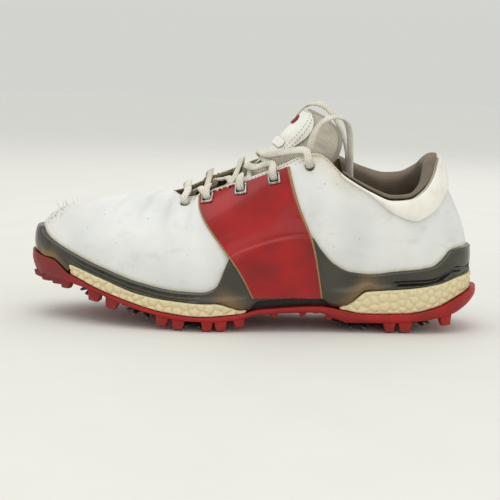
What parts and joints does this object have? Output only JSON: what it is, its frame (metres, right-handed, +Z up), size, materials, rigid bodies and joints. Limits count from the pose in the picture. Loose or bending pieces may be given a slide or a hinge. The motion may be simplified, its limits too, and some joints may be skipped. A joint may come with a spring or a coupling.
{
  "type": "golf shoe",
  "caption": "Low left golf shoe: laced leather-like upper, padded collar and tongue, moulded sole frame, foam midsole blocks, lugged outsole, twist-in cleats.",
  "frame": {"origin": "on the ground under the middle of the shoe", "axes": "+X towards the heel, so the toe points along -X; +Y towards the inner (medial) side; +Z up"},
  "size_m": [0.3104, 0.1114, 0.1537],
  "materials": {
    "white_microfibre": "satin",
    "taupe_lining": "matte",
    "stiffener_board": "matte",
    "offwhite_leather": "satin",
    "olive_tpu": "gloss",
    "bead_foam": "matte",
    "red_rubber": "satin",
    "fibre_board": "matte",
    "sock_textile": "matte",
    "black_shank": "satin",
    "red_gloss_panel": "gloss",
    "eyelet_steel": "satin",
    "tongue_mesh": "matte",
    "white_leather": "satin",
    "red_label": "matte",
    "cotton_lace": "matte",
    "aglet_plastic": "gloss",
    "receptacle_plastic": "matte",
    "cleat_plastic": "satin"
  },
  "bodies": {
    "shoe": {"upper_shell": "white_microfibre", "upper_lining": "taupe_lining", "toe_puff": "stiffener_board", "heel_counter": "stiffener_board", "collar_pad": "offwhite_leather", "collar_roll": "taupe_lining", "sole_frame": "olive_tpu", "forefoot_midsole": "bead_foam", "heel_midsole": "bead_foam", "outsole": "red_rubber", "insole_board": "fibre_board", "sockliner": "sock_textile", "shank_plate": "black_shank", "saddle_panel_lateral": "red_gloss_panel", "saddle_panel_medial": "red_gloss_panel", "eyelet_lateral_2": "eyelet_steel", "eyelet_lateral_3": "eyelet_steel", "eyelet_lateral_4": "eyelet_steel", "eyelet_medial_2": "eyelet_steel", "eyelet_medial_3": "eyelet_steel", "eyelet_medial_4": "eyelet_steel", "lace_end_lateral": "cotton_lace", "lace_threaded": "cotton_lace", "lace_end_medial": "cotton_lace", "aglet_lateral": "aglet_plastic", "aglet_medial": "aglet_plastic", "receptacle_lateral_13": "receptacle_plastic", "receptacle_medial_13": "receptacle_plastic", "receptacle_lateral_25": "receptacle_plastic", "receptacle_medial_25": "receptacle_plastic", "receptacle_lateral_37": "receptacle_plastic", "receptacle_medial_37": "receptacle_plastic", "receptacle_lateral_74": "receptacle_plastic", "receptacle_medial_74": "receptacle_plastic", "receptacle_lateral_87": "receptacle_plastic", "receptacle_medial_87": "receptacle_plastic"},
    "tongue": {"tongue_pad": "tongue_mesh", "tongue_face": "white_leather", "tongue_label": "red_label", "lace_keeper": "white_leather"},
    "cleat_lateral_13": {"cleat_lateral_13": "cleat_plastic"},
    "cleat_medial_13": {"cleat_medial_13": "cleat_plastic"},
    "cleat_lateral_25": {"cleat_lateral_25": "cleat_plastic"},
    "cleat_medial_25": {"cleat_medial_25": "cleat_plastic"},
    "cleat_lateral_37": {"cleat_lateral_37": "cleat_plastic"},
    "cleat_medial_37": {"cleat_medial_37": "cleat_plastic"},
    "cleat_lateral_74": {"cleat_lateral_74": "cleat_plastic"},
    "cleat_medial_74": {"cleat_medial_74": "cleat_plastic"},
    "cleat_lateral_87": {"cleat_lateral_87": "cleat_plastic"},
    "cleat_medial_87": {"cleat_medial_87": "cleat_plastic"}
  },
  "joints": [
    {"name": "tongue_press", "type": "hinge", "parent": "shoe", "child": "tongue", "pos_m": [-0.06, -0.00168, 0.076], "axis": [0, 1, 0], "range_deg": [0, 8]},
    {"name": "cleat_lateral_13_twist", "type": "hinge", "parent": "shoe", "child": "cleat_lateral_13", "pos_m": [-0.10704, -0.01916, 0.0224], "axis": [-0.3163, 0, -0.9486], "range_deg": [0, 60]},
    {"name": "cleat_medial_13_twist", "type": "hinge", "parent": "shoe", "child": "cleat_medial_13", "pos_m": [-0.10789, 0.03184, 0.02269], "axis": [-0.314, 0, -0.9494], "range_deg": [0, 60]},
    {"name": "cleat_lateral_25_twist", "type": "hinge", "parent": "shoe", "child": "cleat_lateral_25", "pos_m": [-0.07412, -0.0304, 0.01215], "axis": [-0.2315, 0, -0.9728], "range_deg": [0, 60]},
    {"name": "cleat_medial_25_twist", "type": "hinge", "parent": "shoe", "child": "cleat_medial_25", "pos_m": [-0.07883, 0.0367, 0.01335], "axis": [-0.2581, 0, -0.9661], "range_deg": [0, 60]},
    {"name": "cleat_lateral_37_twist", "type": "hinge", "parent": "shoe", "child": "cleat_lateral_37", "pos_m": [-0.03938, -0.03669, 0.00702], "axis": [-0.0267, 0, -0.9996], "range_deg": [0, 60]},
    {"name": "cleat_medial_37_twist", "type": "hinge", "parent": "shoe", "child": "cleat_medial_37", "pos_m": [-0.04513, 0.03345, 0.0072], "axis": [-0.0413, 0, -0.9991], "range_deg": [0, 60]},
    {"name": "cleat_lateral_74_twist", "type": "hinge", "parent": "shoe", "child": "cleat_lateral_74", "pos_m": [0.07173, -0.02255, 0.00685], "axis": [0.0055, 0, -1], "range_deg": [0, 60]},
    {"name": "cleat_medial_74_twist", "type": "hinge", "parent": "shoe", "child": "cleat_medial_74", "pos_m": [0.07414, 0.01524, 0.00686], "axis": [0.0074, 0, -1], "range_deg": [0, 60]},
    {"name": "cleat_lateral_87_twist", "type": "hinge", "parent": "shoe", "child": "cleat_lateral_87", "pos_m": [0.11166, -0.02092, 0.00847], "axis": [0.1322, 0, -0.9912], "range_deg": [0, 60]},
    {"name": "cleat_medial_87_twist", "type": "hinge", "parent": "shoe", "child": "cleat_medial_87", "pos_m": [0.11226, 0.01632, 0.00855], "axis": [0.1336, 0, -0.991], "range_deg": [0, 60]}
  ]
}
